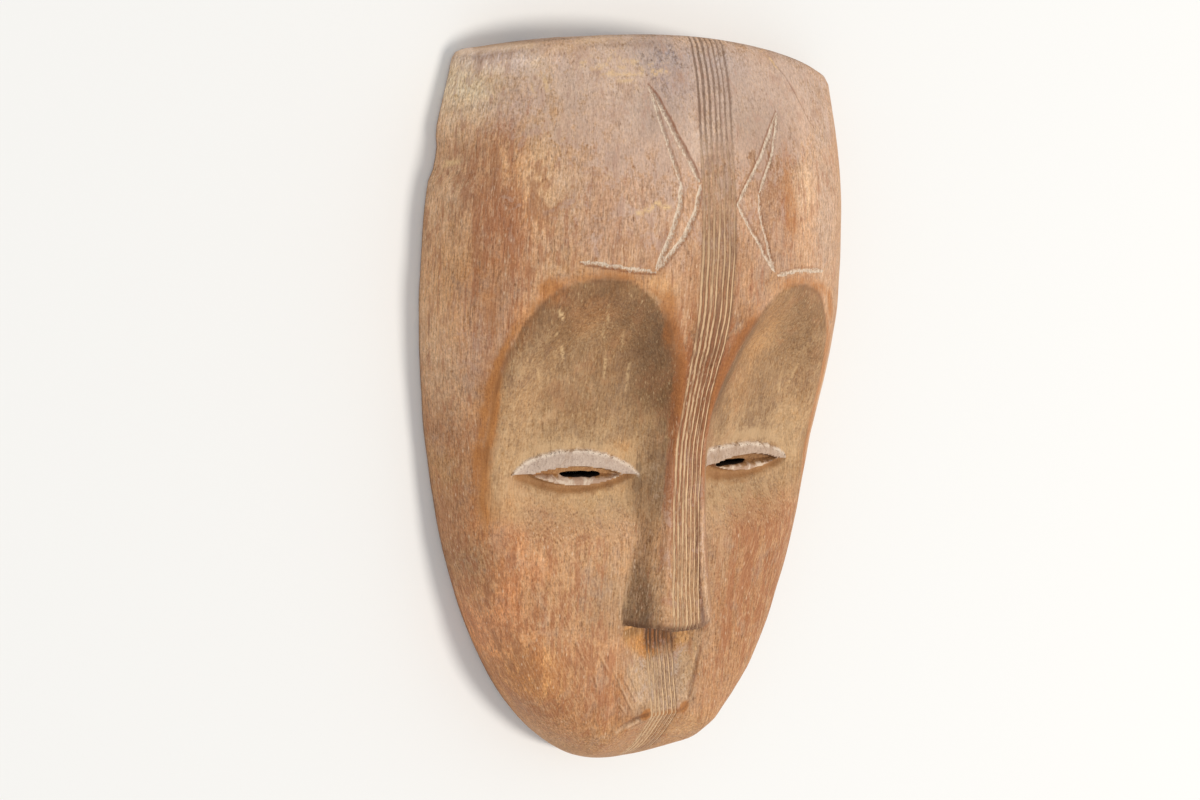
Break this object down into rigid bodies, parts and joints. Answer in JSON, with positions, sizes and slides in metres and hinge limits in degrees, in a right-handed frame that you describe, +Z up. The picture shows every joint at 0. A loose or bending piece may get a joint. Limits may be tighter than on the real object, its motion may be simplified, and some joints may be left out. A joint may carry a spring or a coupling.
{
  "type": "carved wooden mask",
  "caption": "Carved wooden face mask with a long nose, arched eye sockets, narrow eye slits and incised lines, hollow behind a flat rim, for wall display or wearing.",
  "frame": {"origin": "in the plane of the flat rim, under the middle of the mask's length and width", "axes": "+Z up, out of the face; +Y from the chin to the forehead; +X to the right as one looks at the face"},
  "size_m": [0.2798, 0.454, 0.0952],
  "materials": {
    "wood": "matt, dusty brown carved wood with worn pigment"
  },
  "bodies": {
    "root": {"mask": "wood"}
  },
  "joints": []
}
